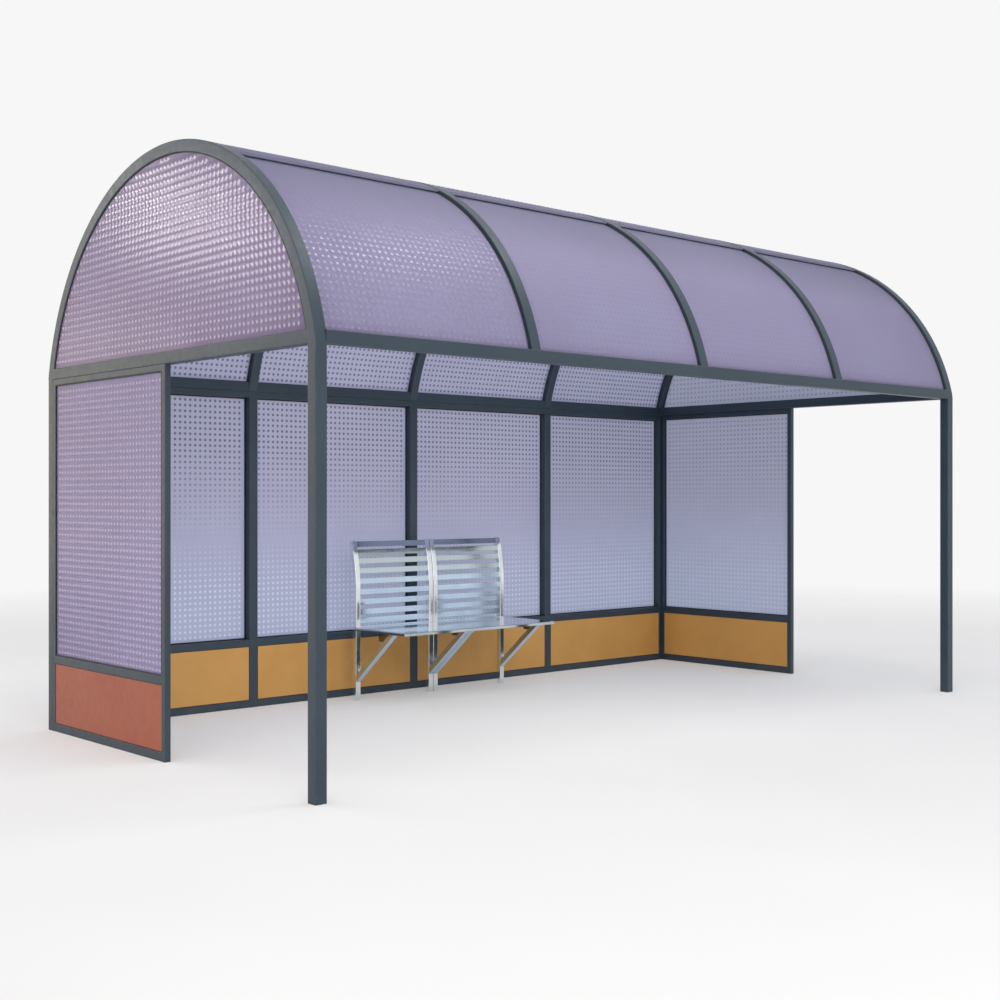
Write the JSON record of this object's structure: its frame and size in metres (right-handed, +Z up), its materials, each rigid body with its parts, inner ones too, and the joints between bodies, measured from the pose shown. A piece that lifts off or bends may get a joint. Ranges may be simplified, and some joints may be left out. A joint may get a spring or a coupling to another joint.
{
  "type": "bus shelter",
  "caption": "Barrel-vault waiting shelter with an open front, half-depth end screens, embossed sheets and a polished two-seat bench.",
  "frame": {"origin": "centre of the footprint, on the floor", "axes": "+X along the length, -Y out of the open front, +Z up"},
  "size_m": [5.521, 2.8, 3.263],
  "materials": {
    "slate_frame": "satin slate paint",
    "lavender_sheet": "embossed, glossy",
    "ochre_panel": "satin laminate",
    "terracotta_panel": "satin laminate",
    "polished_steel": "mirror-polished stainless steel"
  },
  "bodies": {
    "root": {"arch_1": "slate_frame", "arch_2": "slate_frame", "arch_3": "slate_frame", "arch_4": "slate_frame", "arch_5": "slate_frame", "bench_braces": "polished_steel", "bench_lugs": "polished_steel", "bench_seat": "polished_steel", "bench_slats_left": "polished_steel", "bench_slats_right": "polished_steel", "bench_uprights": "polished_steel", "eave_beam_front": "slate_frame", "eave_beam_rear": "slate_frame", "end_kick_inner": "ochre_panel", "end_kick_outer": "terracotta_panel", "end_sheet_left": "lavender_sheet", "end_sheet_right": "lavender_sheet", "post_front_left": "slate_frame", "post_front_right": "slate_frame", "post_rear_1": "slate_frame", "post_rear_2": "slate_frame", "post_rear_3": "slate_frame", "post_rear_4": "slate_frame", "post_rear_5": "slate_frame", "rear_bottom_rails": "slate_frame", "rear_head_rails": "slate_frame", "rear_kick_inner": "ochre_panel", "rear_kick_outer": "terracotta_panel", "rear_mid_rails": "slate_frame", "rear_sheet_1": "lavender_sheet", "rear_sheet_2": "lavender_sheet", "rear_sheet_3": "lavender_sheet", "rear_sheet_4": "lavender_sheet", "roof_crown_sheet_1": "lavender_sheet", "roof_crown_sheet_2": "lavender_sheet", "roof_crown_sheet_3": "lavender_sheet", "roof_crown_sheet_4": "lavender_sheet", "roof_slope_sheets_1": "lavender_sheet", "roof_slope_sheets_2": "lavender_sheet", "roof_slope_sheets_3": "lavender_sheet", "roof_slope_sheets_4": "lavender_sheet", "screen_frame_left": "slate_frame", "screen_frame_right": "slate_frame", "tie_beam_left": "slate_frame", "tie_beam_right": "slate_frame", "tympanum_left": "lavender_sheet", "tympanum_right": "lavender_sheet"}
  },
  "joints": []
}
